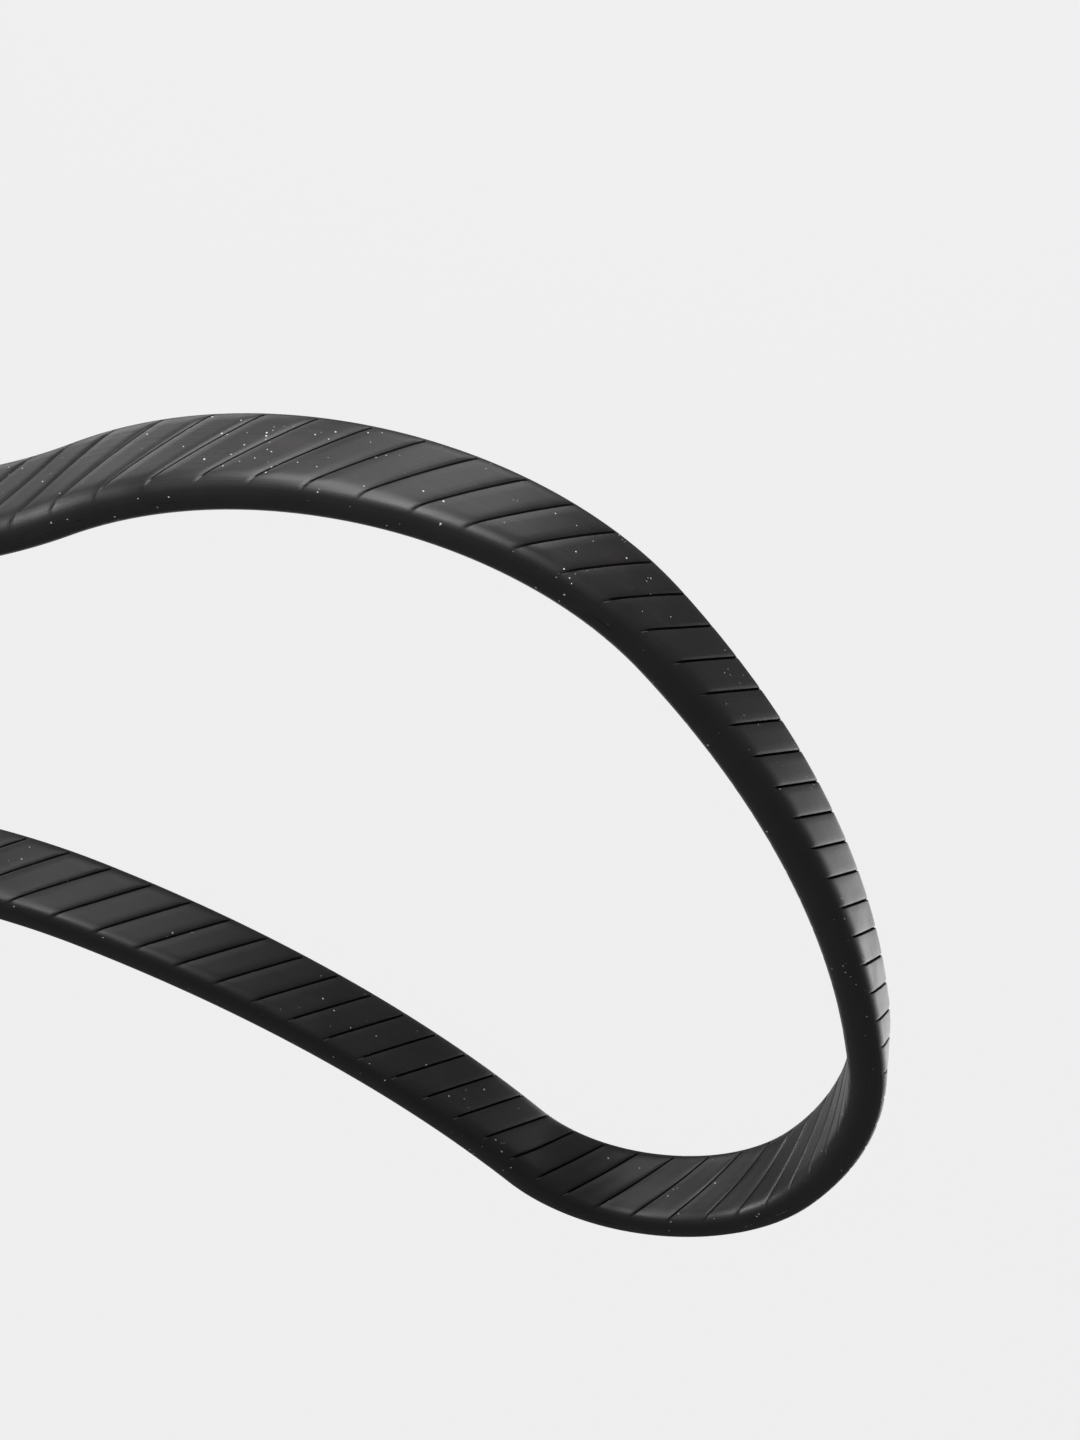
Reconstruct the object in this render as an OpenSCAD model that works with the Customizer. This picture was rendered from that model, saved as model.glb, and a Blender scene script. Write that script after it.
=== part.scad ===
// Endless rubber track band, standing on one edge.
// Travel along the loop runs clockwise seen from above, so the outer face is on the left.
// Z runs across the band's width, and the loop's centre of symmetry is the origin.

/* [Band] */
// Width of the band, from edge to edge
band_w = 10; // [8:0.5:14]
// Thickness of the band through both covers
band_t = 4.2; // [3.4:0.1:5.4]
// Radius of the four rounded shoulders
shoulder_r = 1.3; // [0.6:0.1:1.6]
// Thickness of the rubber wall at each edge, beside the cord bed
edge_wall = 1; // [0.8:0.1:1.6]

/* [Grooves] */
// Distance from one groove to the next, along the middle of the band's thickness
groove_pitch = 4.7; // [4:0.1:6]
// Width of a groove
groove_w = 0.35; // [0.2:0.05:0.6]
// Depth of a groove at the middle of the band
groove_depth = 0.8; // [0.4:0.05:1]
// How far a groove moves along the band while it crosses from shoulder to shoulder
groove_advance = 9.2; // [4:0.2:10]
// Bare rubber left between a groove's end and the edge
groove_margin = 0.75; // [0.4:0.05:1.5]
// Place of the outer face's first groove, as a share of the pitch
outer_phase = 0.1; // [0:0.05:1]
// Place of the inner face's first groove, as a share of the pitch
inner_phase = 0.75; // [0:0.05:1]

/* [Cords] */
// Diameter of a steel tension cord
cord_d = 0.6; // [0.4:0.05:0.9]
// Number of cord turns side by side
cord_count = 7; // [3:1:8]
// Thickness of the rubber bed that holds the cords
bed_t = 1.2; // [1:0.1:1.6]

/* [Bending] */
// Greatest bend at one joint that the ends leave room for, in degrees
bend_room = 19; // [10:1:24]
// Gap between two neighbouring lengths at the neutral line
end_gap = 0.2; // [0.1:0.05:0.4]

/* [Hidden] */
$fn = 48;
// Half of the loop as arcs, each [grooves along it, degrees it turns, positive to the left].
// The other half is the same half turned by 180 degrees, so the turns add up to -180.
half_loop = [[12, 57], [13, -85], [14, -28], [6, -39], [8, -110], [13, 25]];
// Heading of the first arc's start, in degrees from X.
first_heading = 0;
arcs = 2 * len(half_loop);
// The arc opposite the fixed length, cut in two where the loop of joints is left open.
split_arc = 2;
// Clearance round each cord in its bed.
cord_fit = 0.02;
// Distance that is safely outside the band.
far = band_t;

// One length of band is [its arc, share of the arc at its start, share at its end].
lengths = [
  for (i = [0:arcs - 1])
    for (part = i == split_arc ? [[0, 0.5], [0.5, 1]] : [[0, 1]])
      [i, part[0], part[1]]
];

function two_digits(n) = n < 10 ? str("0", n) : str(n);
function node_name(kind, n) = str(kind, "_", two_digits(n + 1));

// The route: length, turn, radius, heading and place of each arc.
function arc_turn(i) = half_loop[i % len(half_loop)][1];
function arc_length(i) = half_loop[i % len(half_loop)][0] * groove_pitch;
function arc_radius(i) = arc_length(i) / abs(arc_turn(i)) * 180 / PI;
function arc_heading(i) = i == 0 ? first_heading : arc_heading(i - 1) + arc_turn(i - 1);
function arc_distance(i) = i == 0 ? 0 : arc_distance(i - 1) + arc_length(i - 1);
function along(angle) = [cos(angle), sin(angle)];
function chord(i, share) =
  2 * arc_radius(i) * sin(abs(arc_turn(i)) * share / 2)
  * along(arc_heading(i) + arc_turn(i) * share / 2);
function arc_offset(i) = i == 0 ? [0, 0] : arc_offset(i - 1) + chord(i - 1, 1);
function arc_start(i) = arc_offset(i) - arc_offset(arcs / 2) / 2;
function place(i, share) = arc_start(i) + chord(i, share);
function heading(i, share) = arc_heading(i) + arc_turn(i) * share;
function arc_holding(s) = max([for (i = [0:arcs - 1]) if (s >= arc_distance(i)) i]);

// Puts its children at a share of an arc, with X along the travel and Y to the left.
module at_share(i, share) {
  translate(place(i, share))
    rotate(heading(i, share))
      children();
}

// Puts its children at a distance along the loop.
module at_distance(s) {
  wrapped = (s + arc_distance(arcs)) % arc_distance(arcs);
  i = arc_holding(wrapped);
  at_share(i, (wrapped - arc_distance(i)) / arc_length(i))
    children();
}

// Sweeps a flat outline, drawn with X towards the outer face and Y across the width.
module sweep(piece) {
  i = piece[0];
  side = arc_turn(i) < 0 ? 1 : -1;
  centre = arc_start(i) - side * arc_radius(i) * along(arc_heading(i) + 90);
  bounds = [for (share = [piece[1], piece[2]]) heading(i, share) + side * 90];
  translate(centre)
    rotate(min(bounds))
      rotate_extrude(angle = max(bounds) - min(bounds), $fn = 180)
        translate([arc_radius(i), 0])
          mirror([side < 0 ? 1 : 0, 0])
            children();
}

// A wedge that clears the end of a length, so that its neighbour can bend either way.
module end_relief(i, share, side) {
  gap = end_gap / 2;
  slope = gap + far * tan(bend_room / 2);
  at_share(i, share)
    translate([0, 0, -far])
      linear_extrude(band_w + 2 * far)
        polygon([
          [-side * gap, 0],
          [-side * slope, far],
          [side * far, far],
          [side * far, -far],
          [-side * slope, -far]
        ]);
}

// A length of band with any flat outline, relieved at both ends.
module band_length(piece) {
  difference() {
    sweep(piece)
      children();
    end_relief(piece[0], piece[1], -1);
    end_relief(piece[0], piece[2], 1);
  }
}

// The band's outline with its rounded shoulders.
module band_outline() {
  inset = band_t / 2 - shoulder_r;
  translate([-band_t / 2, shoulder_r])
    square([band_t, band_w - 2 * shoulder_r]);
  translate([-inset, 0])
    square([2 * inset, band_w]);
  for (x = [-inset, inset])
    for (y = [shoulder_r, band_w - shoulder_r])
      translate([x, y])
        circle(shoulder_r);
}

module bed_outline() {
  translate([-bed_t / 2, edge_wall])
    square([bed_t, band_w - 2 * edge_wall]);
}

module cord_outlines(d) {
  span = band_w - 2 * edge_wall - bed_t;
  for (k = [0:cord_count - 1])
    translate([0, band_w / 2 + span * (k / (cord_count - 1) - 0.5)])
      circle(d = d);
}

// Half of the band's outline, with the pocket that the cord bed fills.
module cover_outline(side) {
  difference() {
    intersection() {
      band_outline();
      translate([side > 0 ? 0 : -band_t, 0])
        square([band_t, band_w]);
    }
    bed_outline();
  }
}

// One slanting groove, cut into the outer face (side 1) or the inner face (side -1).
module groove(side) {
  reach = band_w - 2 * groove_margin;
  slant = atan(groove_advance / reach);
  cut = groove_depth + far;
  translate([0, side * (band_t / 2 - groove_depth), band_w / 2])
    rotate([0, -side * slant, 0])
      translate([-groove_w / 2, side > 0 ? 0 : -cut, -reach / cos(slant) / 2])
        cube([groove_w, cut, reach / cos(slant)]);
}

// Every groove that can reach a length of band.
module grooves_over(piece, side) {
  i = piece[0];
  phase = side > 0 ? outer_phase : inner_phase;
  from = arc_distance(i) + arc_length(i) * piece[1] - groove_advance;
  to = arc_distance(i) + arc_length(i) * piece[2] + groove_advance;
  for (k = [floor(from / groove_pitch):ceil(to / groove_pitch)])
    at_distance((k + phase) * groove_pitch)
      groove(side);
}

module outer_cover(piece) {
  color("#2c2b2b")
    difference() {
      band_length(piece)
        cover_outline(1);
      grooves_over(piece, 1);
    }
}

module inner_cover(piece) {
  color("#333232")
    difference() {
      band_length(piece)
        cover_outline(-1);
      grooves_over(piece, -1);
    }
}

module cord_bed(piece) {
  color("#1f1c1b")
    band_length(piece)
      difference() {
        bed_outline();
        cord_outlines(cord_d + 2 * cord_fit);
      }
}

module tension_cords(piece) {
  color("#b08d57")
    band_length(piece)
      cord_outlines(cord_d);
}

for (n = [0:len(lengths) - 1]) {
  outer_cover(lengths[n]);
  inner_cover(lengths[n]);
  cord_bed(lengths[n]);
  tension_cords(lengths[n]);
}
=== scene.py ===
import bpy, bmesh, math
from mathutils import Matrix, Vector


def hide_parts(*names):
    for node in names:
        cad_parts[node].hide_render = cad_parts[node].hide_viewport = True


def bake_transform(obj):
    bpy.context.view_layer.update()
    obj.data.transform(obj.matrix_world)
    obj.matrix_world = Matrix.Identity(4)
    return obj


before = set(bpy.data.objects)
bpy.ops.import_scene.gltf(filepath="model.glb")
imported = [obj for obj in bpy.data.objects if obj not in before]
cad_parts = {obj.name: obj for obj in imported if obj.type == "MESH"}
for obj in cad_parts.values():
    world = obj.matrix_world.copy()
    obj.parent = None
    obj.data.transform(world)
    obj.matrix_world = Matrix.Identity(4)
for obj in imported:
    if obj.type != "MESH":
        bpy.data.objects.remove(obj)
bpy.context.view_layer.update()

mm = 0.001
bpy.ops.object.select_all(action="DESELECT")

# The band as its maker would order it. The other half of the loop is this half turned by 180 degrees.
band = {
    "width": 10.0 * mm,
    "thickness": 4.2 * mm,
    "pitch": 4.7 * mm,  # from one groove to the next
    # each arc's grooves, and the degrees that it turns to the left
    "halfLoop": [(12, 57), (13, -85), (14, -28), (6, -39), (8, -110), (13, 25)],
    "splitArc": 2,  # the arc where the loop of hinges is left open
}

cameraSetup = {
    "place": (5.6 * mm, -234.4 * mm, 183.7 * mm),
    "target": (-62.5 * mm, -38.8 * mm, 5.0 * mm),
    "roll": -169.6,  # degrees about the line of sight
    "lens": 70.8,
    "sensor": 36.0,
}


def setUpCamera():
    data = bpy.data.cameras.new("studioCamera")
    data.lens = cameraSetup["lens"]
    data.sensor_width = cameraSetup["sensor"]
    data.clip_start = 1 * mm
    data.clip_end = 10
    camera = bpy.data.objects.new("studioCamera", data)
    bpy.context.scene.collection.objects.link(camera)
    place, target = Vector(cameraSetup["place"]), Vector(cameraSetup["target"])
    aim = (target - place).to_track_quat("-Z", "Y").to_matrix().to_4x4()
    roll = Matrix.Rotation(math.radians(cameraSetup["roll"]), 4, "Z")
    camera.matrix_world = Matrix.Translation(place) @ aim @ roll
    bpy.context.scene.camera = camera


setUpCamera()
print("camera set")


def heading(angle):
    return Vector((math.cos(angle), math.sin(angle), 0))


def walkRoute():
    # the thirteen lengths in order from the seam, each an arc with its start, heading, turn and body
    arcs, place, angle = [], Vector((0, 0, 0)), 0.0
    for grooves, turn in band["halfLoop"] * 2:
        arcs.append({"start": place.copy(), "angle": angle, "turn": math.radians(turn), "grooves": grooves})
        place += chord(arcs[-1], 1)
        angle += arcs[-1]["turn"]
    centre = arcs[len(arcs) // 2]["start"] / 2
    for arc in arcs:
        arc["start"] -= centre
    split = arcs[band["splitArc"]]
    halves = []
    for share in (0, 0.5):
        halves.append({
            "start": split["start"] + chord(split, share),
            "angle": split["angle"] + split["turn"] * share,
            "turn": split["turn"] / 2,
            "grooves": split["grooves"] // 2,
        })
    lengths = arcs[:band["splitArc"]] + halves + arcs[band["splitArc"] + 1:]
    for number, length in enumerate(lengths):
        length["number"] = f"{number + 1:02d}"
    seam = band["splitArc"] + 1
    return lengths[seam:] + lengths[:seam]


def chord(arc, share):
    # from an arc's start to the point at that share of it
    radius = arc["grooves"] * band["pitch"] / abs(arc["turn"])
    reach = 2 * radius * math.sin(abs(arc["turn"]) * share / 2)
    return reach * heading(arc["angle"] + arc["turn"] * share / 2)


lengths = walkRoute()


def layNeutralLine():
    # the line at the cords' level, which the rubber is bent along
    data = bpy.data.curves.new("neutralLine", "CURVE")
    data.dimensions = "3D"
    data.twist_mode = "Z_UP"
    data.resolution_u = 64
    spline = data.splines.new("BEZIER")
    spline.bezier_points.add(len(lengths) - 1)
    spline.use_cyclic_u = True
    handles = []
    around = lengths[1:] + lengths[:1]  # Blender measures a closed line from its last point
    for length in around:
        radius = length["grooves"] * band["pitch"] / abs(length["turn"])
        handles.append(4 / 3 * math.tan(abs(length["turn"]) / 4) * radius)
    for i, length in enumerate(around):
        point = spline.bezier_points[i]
        along = heading(length["angle"])
        point.co = length["start"]
        point.handle_left = length["start"] - along * handles[i - 1]
        point.handle_right = length["start"] + along * handles[i]
    line = bpy.data.objects.new("neutralLine", data)
    bpy.context.scene.collection.objects.link(line)
    return line


# One grooved face between two slits. A drop is how far the rubber lies below the face there.
groovedFace = {
    "shoulder": 1.95 * mm,  # reach of a rounded shoulder
    "shoulderSteps": 6,
    "shoulderShape": 0.58,  # 0.5 is round, 1 is square
    "rows": 6,  # spans between the shoulders
    "slitDepth": 0.9 * mm,
    "slit": 0.065 * mm,  # half of its width at the foot
    "tightLip": [(0.09, 0.14), (0.17, 0.045), (0.34, 0.0)],  # mm from the slit's middle, mm of drop
    "softLip": [(0.07, 0.24), (0.23, 0.12), (0.43, 0.045), (0.70, 0.0)],
    "padCuts": [1.35, 2.3, 3.2],  # mm
    "notch": (0.12, 0.22),  # mm, half of its height and its depth, in the soft lip's wall at mid width
    "advance": 10.82 * mm,  # how far a groove moves along while it crosses the full width
    "grooveEnd": 0.6 * mm,  # bare rubber between a groove's end and the edge
    "grooveRamp": 1.0 * mm,  # over which a groove gets its depth
    "edgeWall": 1.0 * mm,
    "pocketDepth": 0.6 * mm,
    "smoothAngle": 38,
}


def pickFaces(test):
    cage = bmesh.from_edit_mesh(bpy.context.edit_object.data)
    for face in cage.faces:
        face.select_set(False)
    for face in cage.faces:
        if test(face.calc_center_median(), face.normal):
            face.select_set(True)
    bmesh.update_edit_mesh(bpy.context.edit_object.data)


def pickEdges(test):
    bpy.ops.mesh.select_all(action="DESELECT")
    cage = bmesh.from_edit_mesh(bpy.context.edit_object.data)
    for edge in cage.edges:
        edge.select_set(test(edge.verts[0].co, edge.verts[1].co))
    bmesh.update_edit_mesh(bpy.context.edit_object.data)


def pickPoints(test):
    bpy.ops.mesh.select_all(action="DESELECT")
    cage = bmesh.from_edit_mesh(bpy.context.edit_object.data)
    for point in cage.verts:
        point.select_set(test(point.co))
    bmesh.update_edit_mesh(bpy.context.edit_object.data)


def near(a, b):
    return abs(a - b) < 1e-3 * mm


def modelTile():
    # one pad of rubber from the middle of a slit to the middle of the next, outer side, straight
    face = groovedFace
    pitch, width, half = band["pitch"], band["width"], band["thickness"] / 2
    bpy.ops.mesh.primitive_cube_add(size=1, location=(pitch / 2, half / 2, width / 2))
    tile = bpy.context.object
    tile.name = "rubberTile"
    tile.scale = (pitch, half, width)
    bpy.ops.object.transform_apply(location=True, rotation=False, scale=True)
    bpy.ops.object.mode_set(mode="EDIT")
    bpy.ops.mesh.select_mode(type="EDGE")
    pickEdges(lambda a, b: near(a.y, half) and near(b.y, half) and near(a.z, b.z))
    bpy.ops.mesh.bevel(
        offset_type="OFFSET",
        offset=face["shoulder"],
        segments=face["shoulderSteps"],
        profile=face["shoulderShape"],
        affect="EDGES",
    )
    bpy.ops.mesh.select_mode(type="FACE")
    pickFaces(lambda middle, normal: abs(normal.x) > 0.9)
    bpy.ops.mesh.delete(type="FACE")
    cuts = [face["slit"] / mm] + [place for place, _ in face["tightLip"]] + face["padCuts"]
    cuts += [pitch / mm - place for place, _ in face["softLip"]] + [(pitch - face["slit"]) / mm]
    for cut in cuts:
        pickFaces(lambda middle, normal: normal.y > -0.9)
        bpy.ops.mesh.bisect(plane_co=(cut * mm, 0, 0), plane_no=(1, 0, 0))
    span = width - 2 * face["shoulder"]
    rows = [face["shoulder"] + span * row / face["rows"] for row in range(1, face["rows"])]
    rows += [width / 2 + edge * face["notch"][0] * mm for edge in (-1, 1)]
    for level in rows:
        pickFaces(lambda middle, normal: normal.y > 0.9)
        bpy.ops.mesh.bisect(plane_co=(0, 0, level), plane_no=(0, 0, 1))
    # the pocket for the cord bed, in the parting face
    for level in (face["edgeWall"], width - face["edgeWall"]):
        pickFaces(lambda middle, normal: normal.y < -0.9)
        bpy.ops.mesh.bisect(plane_co=(0, 0, level), plane_no=(0, 0, 1))
    pickFaces(lambda middle, normal: normal.y < -0.9 and near(middle.z, width / 2))
    bpy.ops.mesh.extrude_region_move(TRANSFORM_OT_translate={"value": (0, face["pocketDepth"], 0)})
    pickFaces(lambda middle, normal: abs(normal.x) > 0.9)
    bpy.ops.mesh.delete(type="FACE")
    bpy.ops.mesh.select_mode(type="VERT")
    carveSlit()
    slideRows()
    bpy.ops.object.mode_set(mode="OBJECT")
    return tile


def carveSlit():
    # each column of points sinks by its drop, less and less towards the groove's ends
    face = groovedFace
    pitch, width = band["pitch"], band["width"]
    deep = face["slitDepth"]
    columns = [(0.0, deep), (face["slit"], deep), (pitch - face["slit"], deep), (pitch, deep)]
    columns += [(place * mm, drop * mm) for place, drop in face["tightLip"]]
    columns += [(pitch - place * mm, drop * mm) for place, drop in face["softLip"]]
    for place, drop in columns:
        if drop == 0:
            continue
        for level in levels(lambda point: near(point.x, place) and point.y > face["pocketDepth"] + 0.1 * mm):
            share = (min(level, width - level) - face["grooveEnd"]) / face["grooveRamp"]
            share = max(0.0, min(1.0, share))
            if share == 0:
                continue
            pickPoints(lambda point: near(point.x, place) and near(point.z, level)
                       and point.y > face["pocketDepth"] + 0.1 * mm)
            sink = -drop * share * share * (3 - 2 * share)
            bpy.ops.transform.translate(value=(0, sink, 0))
    # a notch at mid width, in the soft lip's side of the slit
    lip = pitch - face["softLip"][0][0] * mm
    wall = pitch - face["slit"]
    pickPoints(lambda point: (near(point.x, wall) or near(point.x, lip)) and near(point.z, width / 2)
               and point.y > face["pocketDepth"] + 0.1 * mm)
    bpy.ops.transform.translate(value=(-face["notch"][1] * mm, 0, 0))


def levels(test):
    cage = bmesh.from_edit_mesh(bpy.context.edit_object.data)
    return sorted({round(point.co.z / mm, 4) * mm for point in cage.verts if test(point.co)})


def slideRows():
    # the grooves slant, so each row of points slides along by its height
    slope = groovedFace["advance"] / band["width"]
    for level in levels(lambda point: True):
        pickPoints(lambda point: near(point.z, level))
        bpy.ops.transform.translate(value=(-slope * (level - band["width"] / 2), 0, 0))


phases = {"outer": 0.1, "inner": 0.75}  # place of the first groove, as a share of the pitch


def makePiece(tile, side, first, last, name):
    # a run of pads between two slits, closed at its ends and bent along the neutral line
    piece = tile.copy()
    piece.data = tile.data.copy()
    piece.name = name
    piece.data.name = name
    bpy.context.scene.collection.objects.link(piece)
    bpy.ops.object.select_all(action="DESELECT")
    piece.select_set(True)
    bpy.context.view_layer.objects.active = piece
    start = first + phases[side]
    if side == "inner":  # the inner side is the outer one turned about the width
        piece.data.transform(Matrix.Rotation(math.pi, 4, "Z"))
        start += 1
    piece.data.transform(Matrix.Translation((start * band["pitch"], 0, 0)))
    array = piece.modifiers.new("pads", "ARRAY")
    array.count = last - first
    array.use_relative_offset = False
    array.use_constant_offset = True
    array.constant_offset_displace = (band["pitch"], 0, 0)
    array.use_merge_vertices = True
    array.merge_threshold = 0.002 * mm
    bpy.ops.object.modifier_apply(modifier=array.name)
    bpy.ops.object.mode_set(mode="EDIT")
    bpy.ops.mesh.select_all(action="SELECT")
    bpy.ops.mesh.fill_holes(sides=0)
    bpy.ops.mesh.select_all(action="SELECT")
    bpy.ops.mesh.normals_make_consistent(inside=False)
    bpy.ops.object.mode_set(mode="OBJECT")
    markStraight(piece)
    bend = piece.modifiers.new("bend", "CURVE")
    bend.object = neutralLine
    bend.deform_axis = "POS_X"
    bpy.ops.object.modifier_apply(modifier=bend.name)
    bpy.ops.object.shade_smooth_by_angle(angle=math.radians(groovedFace["smoothAngle"]))
    return piece


def markStraight(piece):
    # a map of the rubber before it is bent: along the band, and across it over the shoulders
    mesh = piece.data
    layer = mesh.uv_layers.new(name="straight")
    half = band["thickness"] / 2
    for loop in mesh.loops:
        place = mesh.vertices[loop.vertex_index].co
        over = half - abs(place.y)
        across = place.z + over if place.z > band["width"] / 2 else place.z - over
        layer.data[loop.index].uv = (place.x / mm, across / mm)


def placeRubber():
    tile = modelTile()
    borders = [0]
    reach = 0
    for length in lengths:
        borders.append(reach + length["grooves"] // 2)
        reach += length["grooves"]
    borders = [0] + borders[2:-1] + [reach]
    pieces = []
    for i in range(len(lengths) - 1):
        ahead, behind = lengths[i + 1], lengths[i]
        for side in ("outer", "inner"):
            name = f"{side}_rubber_{behind['number']}_{ahead['number']}"
            piece = makePiece(tile, side, borders[i], borders[i + 1], name)
            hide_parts(f"{side}_cover_{behind['number']}", f"{side}_cover_{ahead['number']}")
            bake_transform(piece)
            pieces.append((side, piece))
    bpy.data.objects.remove(tile)
    bpy.data.objects.remove(neutralLine)
    return pieces


neutralLine = layNeutralLine()
rubberPieces = placeRubber()
print("rubber:", len(rubberPieces), "pieces,", sum(len(p.data.polygons) for _, p in rubberPieces), "faces")


def startMaterial(name):
    material = bpy.data.materials.new(name)
    material.use_nodes = True
    tree = material.node_tree
    return material, tree, tree.nodes["Principled BSDF"]


def startEffect(name, inputs, outputs):
    # a node group with named numbers in and named values out
    group = bpy.data.node_groups.new(name, "ShaderNodeTree")
    for label, value in inputs.items():
        socket = group.interface.new_socket(label, in_out="INPUT", socket_type="NodeSocketFloat")
        socket.default_value = value
    for label in outputs:
        group.interface.new_socket(label, in_out="OUTPUT", socket_type="NodeSocketFloat")
    return group, group.nodes.new("NodeGroupInput"), group.nodes.new("NodeGroupOutput")


def join(tree, *pairs):
    for out, into in pairs:
        tree.links.new(out, into)


def mathNode(tree, kind, first, second=None, clamp=False):
    node = tree.nodes.new("ShaderNodeMath")
    node.operation = kind
    node.use_clamp = clamp
    for socket, value in zip(node.inputs, (first, second)):
        if isinstance(value, (int, float)):
            socket.default_value = value
        elif value is not None:
            tree.links.new(value, socket)
    return node.outputs[0]


def rangeNode(tree, value, low, high, outLow=0.0, outHigh=1.0):
    node = tree.nodes.new("ShaderNodeMapRange")
    node.clamp = True
    tree.links.new(value, node.inputs["Value"])
    for label, number in zip(("From Min", "From Max", "To Min", "To Max"), (low, high, outLow, outHigh)):
        node.inputs[label].default_value = number
    return node.outputs["Result"]


def noiseNode(tree, vector, scale, detail, roughness=0.5):
    node = tree.nodes.new("ShaderNodeTexNoise")
    node.inputs["Detail"].default_value = detail
    node.inputs["Roughness"].default_value = roughness
    tree.links.new(vector, node.inputs["Vector"])
    if isinstance(scale, (int, float)):
        node.inputs["Scale"].default_value = scale
    else:
        tree.links.new(scale, node.inputs["Scale"])
    return node.outputs[0]


def mixColours(tree, share, first, second):
    node = tree.nodes.new("ShaderNodeMix")
    node.data_type = "RGBA"
    tree.links.new(share, node.inputs["Factor"])
    for socket, value in ((node.inputs["A"], first), (node.inputs["B"], second)):
        if isinstance(value, tuple):
            socket.default_value = (*value, 1)
        else:
            tree.links.new(value, socket)
    return node.outputs["Result"]


def placeEffect(tree, group, values):
    node = tree.nodes.new("ShaderNodeGroup")
    node.node_tree = group
    for label, value in values.items():
        node.inputs[label].default_value = value
    return node.outputs


def makeRunStreaks():
    # marks that the mould left along the band: slow along it, quick across it
    group, given, made = startEffect("runStreaks", {"Along": 30.0, "Across": 6.0}, ("Streak", "Broad"))
    place = group.nodes.new("ShaderNodeTexCoord")
    straight = group.nodes.new("ShaderNodeUVMap")
    straight.uv_map = "straight"
    split = group.nodes.new("ShaderNodeSeparateXYZ")
    flat = group.nodes.new("ShaderNodeSeparateXYZ")
    join(group, (straight.outputs["UV"], split.inputs[0]), (place.outputs["Object"], flat.inputs[0]))
    vector = group.nodes.new("ShaderNodeCombineXYZ")
    join(
        group,
        (mathNode(group, "MULTIPLY", flat.outputs["X"], given.outputs["Along"]), vector.inputs["X"]),
        (mathNode(group, "MULTIPLY", flat.outputs["Y"], given.outputs["Along"]), vector.inputs["Y"]),
        (mathNode(group, "MULTIPLY", split.outputs["Y"], given.outputs["Across"]), vector.inputs["Z"]),
    )
    fine = noiseNode(group, vector.outputs[0], 1.0, 3, 0.6)
    broad = noiseNode(group, vector.outputs[0], 0.22, 1, 0.5)
    join(
        group,
        (rangeNode(group, fine, 0.3, 0.7), made.inputs["Streak"]),
        (rangeNode(group, broad, 0.3, 0.7), made.inputs["Broad"]),
    )
    return group


def makeFineGrain():
    # the slight tooth of moulded rubber, and slow patches of polish
    group, given, made = startEffect("fineGrain", {"Grains": 4200.0, "Patches": 180.0}, ("Height", "Patch"))
    place = group.nodes.new("ShaderNodeTexCoord").outputs["Object"]
    grains = noiseNode(group, place, given.outputs["Grains"], 2)
    patches = noiseNode(group, place, given.outputs["Patches"], 3)
    join(
        group,
        (grains, made.inputs["Height"]),
        (rangeNode(group, patches, 0.35, 0.65), made.inputs["Patch"]),
    )
    return group


def makeDustSpecks():
    # lint specks: some cells of a fine pattern hold one, more of them in some patches, and its size varies
    inputs = {"Cells": 1300.0, "Share": 0.05, "Size": 0.16, "Clusters": 150.0}
    group, given, made = startEffect("dustSpecks", inputs, ("Mask",))
    place = group.nodes.new("ShaderNodeTexCoord")
    cells = group.nodes.new("ShaderNodeTexVoronoi")
    join(
        group,
        (place.outputs["Object"], cells.inputs["Vector"]),
        (given.outputs["Cells"], cells.inputs["Scale"]),
    )
    chance = group.nodes.new("ShaderNodeSeparateColor")
    join(group, (cells.outputs["Color"], chance.inputs[0]))
    clusters = noiseNode(group, place.outputs["Object"], given.outputs["Clusters"], 2)
    crowd = rangeNode(group, clusters, 0.38, 0.66, 0.15, 1.0)
    share = mathNode(group, "MULTIPLY", crowd, given.outputs["Share"])
    held = mathNode(group, "LESS_THAN", chance.outputs["Red"], share)
    spread = rangeNode(group, chance.outputs["Green"], 0, 1, 0.4, 1.3)
    reach = mathNode(group, "MULTIPLY", given.outputs["Size"], spread)
    inside = mathNode(group, "LESS_THAN", cells.outputs["Distance"], reach)
    join(group, (mathNode(group, "MULTIPLY", held, inside), made.inputs["Mask"]))
    return group


runStreaks, fineGrain, dustSpecks = makeRunStreaks(), makeFineGrain(), makeDustSpecks()

rubberFinish = {
    "outer": {
        "colours": ((0.0085, 0.0088, 0.0094), (0.0150, 0.0128, 0.0122)),  # clean black, brownish bloom
        "roughness": (0.38, 0.47),
        "dust": (0.42, 0.42, 0.41),
        "specks": {"Cells": 2600.0, "Share": 0.12, "Size": 0.2},
        "streaks": {"Along": 30.0, "Across": 5.5},
        "streakDepth": 0.006 * mm,
        "grainDepth": 0.001 * mm,
    },
    "inner": {
        "colours": ((0.0080, 0.0082, 0.0085), (0.0125, 0.0115, 0.0112)),
        "roughness": (0.40, 0.48),
        "dust": (0.40, 0.40, 0.39),
        "specks": {"Cells": 2400.0, "Share": 0.06, "Size": 0.2},
        "streaks": {"Along": 22.0, "Across": 4.0},
        "streakDepth": 0.0045 * mm,
        "grainDepth": 0.001 * mm,
    },
}


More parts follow.
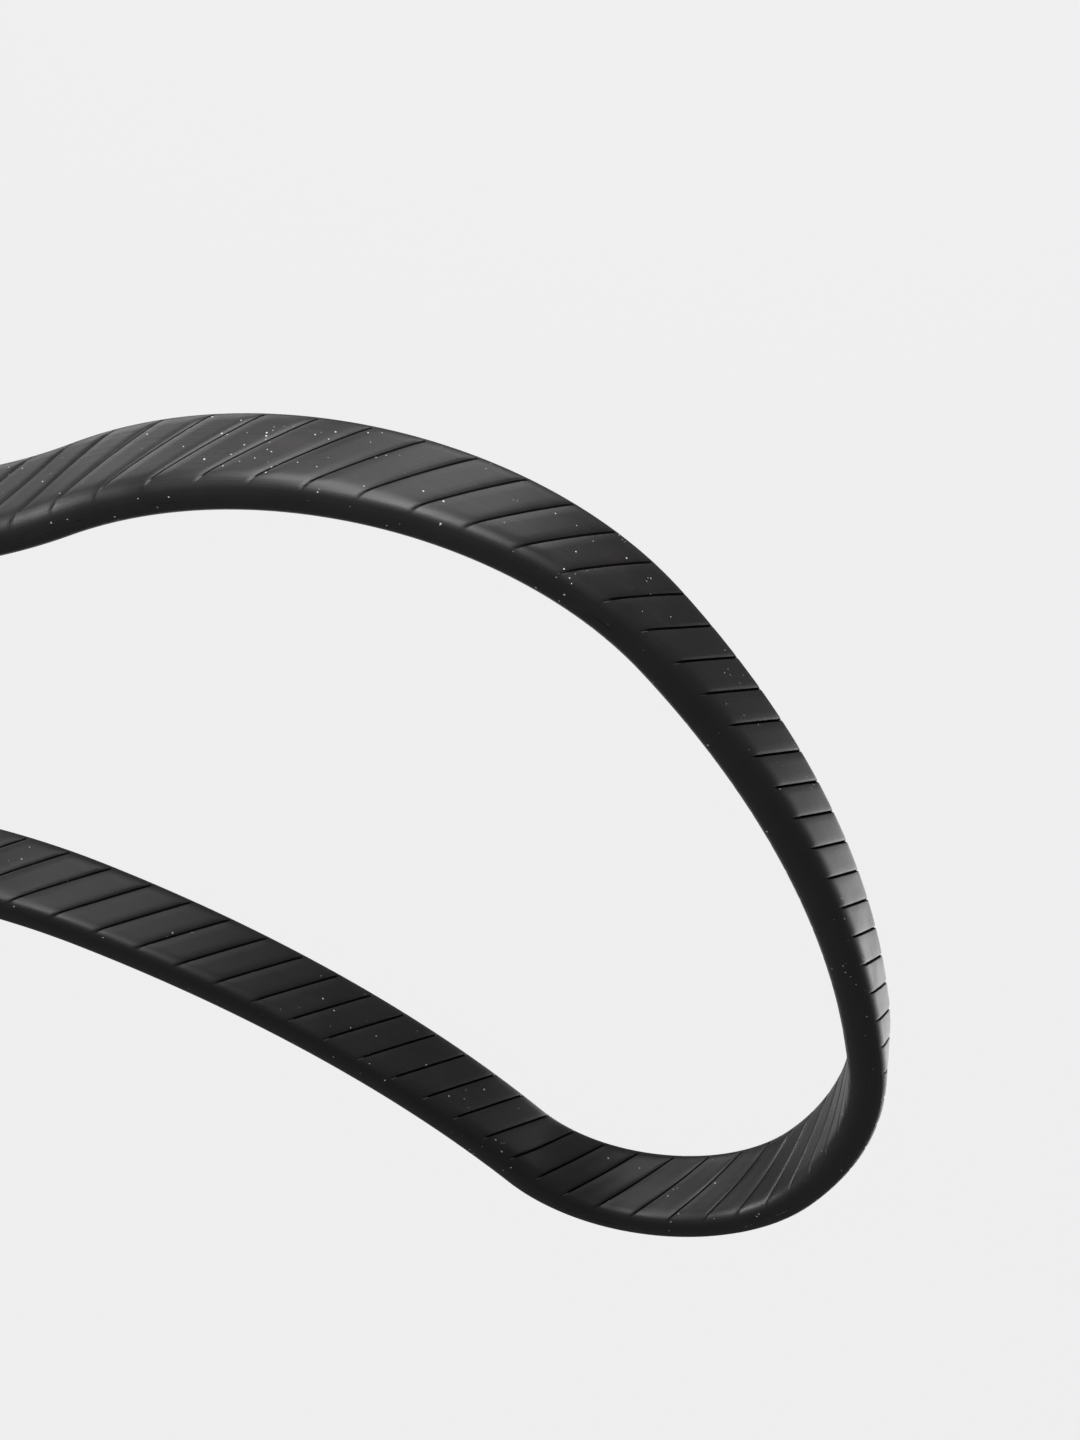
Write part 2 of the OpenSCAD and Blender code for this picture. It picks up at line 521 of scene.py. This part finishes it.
def makeRubber(side):
    finish = rubberFinish[side]
    material, tree, shader = startMaterial(f"{side}Rubber")
    streaks = placeEffect(tree, runStreaks, finish["streaks"])
    grain = placeEffect(tree, fineGrain, {})
    specks = placeEffect(tree, dustSpecks, finish["specks"])["Mask"]
    bloom = mathNode(tree, "MULTIPLY", streaks["Broad"], grain["Patch"])
    bloom = mathNode(tree, "ADD", bloom, mathNode(tree, "MULTIPLY", streaks["Streak"], 0.25), clamp=True)
    colour = mixColours(tree, bloom, *finish["colours"])
    colour = mixColours(tree, specks, colour, finish["dust"])
    low, high = finish["roughness"]
    rough = rangeNode(tree, mathNode(tree, "ADD", streaks["Streak"], grain["Patch"]), 0.2, 1.8, low, high)
    rough = mathNode(tree, "ADD", rough, mathNode(tree, "MULTIPLY", specks, 0.4), clamp=True)
    toothed = tree.nodes.new("ShaderNodeBump")
    toothed.inputs["Distance"].default_value = finish["grainDepth"]
    streaked = tree.nodes.new("ShaderNodeBump")
    streaked.inputs["Distance"].default_value = finish["streakDepth"]
    join(
        tree,
        (colour, shader.inputs["Base Color"]),
        (rough, shader.inputs["Roughness"]),
        (grain["Height"], toothed.inputs["Height"]),
        (streaks["Streak"], streaked.inputs["Height"]),
        (toothed.outputs[0], streaked.inputs["Normal"]),
        (streaked.outputs[0], shader.inputs["Normal"]),
    )
    return material


def makeCushionRubber():
    # the soft rubber round the cords, duller than the covers
    material, tree, shader = startMaterial("cushionRubber")
    grain = placeEffect(tree, fineGrain, {"Grains": 2600.0, "Patches": 260.0})
    bump = tree.nodes.new("ShaderNodeBump")
    bump.inputs["Distance"].default_value = 0.003 * mm
    colour = mixColours(tree, grain["Patch"], (0.010, 0.009, 0.0085), (0.018, 0.015, 0.013))
    join(
        tree,
        (colour, shader.inputs["Base Color"]),
        (rangeNode(tree, grain["Patch"], 0, 1, 0.6, 0.75), shader.inputs["Roughness"]),
        (grain["Height"], bump.inputs["Height"]),
        (bump.outputs[0], shader.inputs["Normal"]),
    )
    return material


def makeCordSteel():
    # brass-coated steel strands, with the twist as fine diagonal ridges
    material, tree, shader = startMaterial("cordSteel")
    shader.inputs["Metallic"].default_value = 1
    place = tree.nodes.new("ShaderNodeTexCoord")
    twist = tree.nodes.new("ShaderNodeTexWave")
    twist.bands_direction = "DIAGONAL"
    twist.inputs["Scale"].default_value = 620
    twist.inputs["Distortion"].default_value = 0.6
    grain = placeEffect(tree, fineGrain, {"Grains": 6000.0, "Patches": 400.0})
    bump = tree.nodes.new("ShaderNodeBump")
    bump.inputs["Distance"].default_value = 0.03 * mm
    colour = mixColours(tree, twist.outputs["Fac"], (0.34, 0.23, 0.12), (0.66, 0.51, 0.31))
    join(
        tree,
        (place.outputs["Object"], twist.inputs["Vector"]),
        (colour, shader.inputs["Base Color"]),
        (rangeNode(tree, grain["Patch"], 0, 1, 0.28, 0.42), shader.inputs["Roughness"]),
        (twist.outputs["Fac"], bump.inputs["Height"]),
        (bump.outputs[0], shader.inputs["Normal"]),
    )
    return material


def dress(thing, material):
    thing.data.materials.clear()
    thing.data.materials.append(material)


rubberOf = {side: makeRubber(side) for side in rubberFinish}
for side, piece in rubberPieces:
    dress(piece, rubberOf[side])
hiddenFinish = {"cord_bed": makeCushionRubber(), "tension_cords": makeCordSteel()}
for name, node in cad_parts.items():
    for kind, material in hiddenFinish.items():
        if name.startswith(kind):
            dress(node, material)
print("materials done")


# Soft round lights: place in mm, radius in mm, brightness of the face.
studio = {
    "target": (-50, -30, 5),
    "lights": [
        ((190, 50, 20), 80, 13),  # left
        ((230, 120, 0), 80, 6),  # left, further back
        ((30, -170, -20), 50, 6),  # in front, low
        ((-20, -180, 60), 50, 9),  # in front, high
        ((-50, -140, -110), 50, 2.5),  # in front, under the floor
        ((130, -30, -260), 100, 2.5),  # left, far under the floor
        ((-100, 250, -130), 100, 0.5),  # behind
        ((-320, 70, -130), 100, 0.7),  # right
        ((-270, 150, -140), 100, 2),  # right, behind the end of the loop
    ],
    "air": 0.14,
    "backdrop": 0.86,
    "floorShade": 0.01,
}


def hangLights():
    target = Vector(studio["target"]) * mm
    for place, radius, brightness in studio["lights"]:
        data = bpy.data.lights.new("softLight", "AREA")
        data.shape = "DISK"
        data.size = 2 * radius * mm
        data.energy = brightness * math.pi * math.pi * (radius * mm) ** 2
        light = bpy.data.objects.new("softLight", data)
        bpy.context.scene.collection.objects.link(light)
        light.location = Vector(place) * mm
        light.rotation_euler = (target - light.location).to_track_quat("-Z", "Y").to_euler()
        light.visible_camera = False


def layFloor():
    # pale floor that glows by itself, so the band's shadow on it stays faint
    bpy.ops.object.select_all(action="DESELECT")
    bpy.ops.mesh.primitive_plane_add(size=6)
    floor = bpy.context.object
    floor.name = "studioFloor"
    material, tree, shader = startMaterial("paleFloor")
    shade, pale = studio["floorShade"], studio["backdrop"] - studio["floorShade"] / 3
    shader.inputs["Base Color"].default_value = (shade, shade, shade, 1)
    shader.inputs["Specular IOR Level"].default_value = 0
    shader.inputs["Emission Color"].default_value = (pale, pale, pale, 1)
    shader.inputs["Emission Strength"].default_value = 1
    floor.data.materials.append(material)
    floor.visible_glossy = False
    floor.visible_diffuse = False
    floor.visible_shadow = False


def fillAir():
    # dim for the band's reflections, pale where it is looked at
    world = bpy.data.worlds.new("studioAir")
    world.use_nodes = True
    tree = world.node_tree
    seen = tree.nodes.new("ShaderNodeLightPath").outputs["Is Camera Ray"]
    air, pale = studio["air"], studio["backdrop"]
    colour = mixColours(tree, seen, (air, air, air), (pale, pale, pale))
    join(tree, (colour, tree.nodes["Background"].inputs["Color"]))
    bpy.context.scene.world = world


hangLights()
layFloor()
fillAir()
bpy.context.scene.view_settings.view_transform = "Standard"
print("studio done")
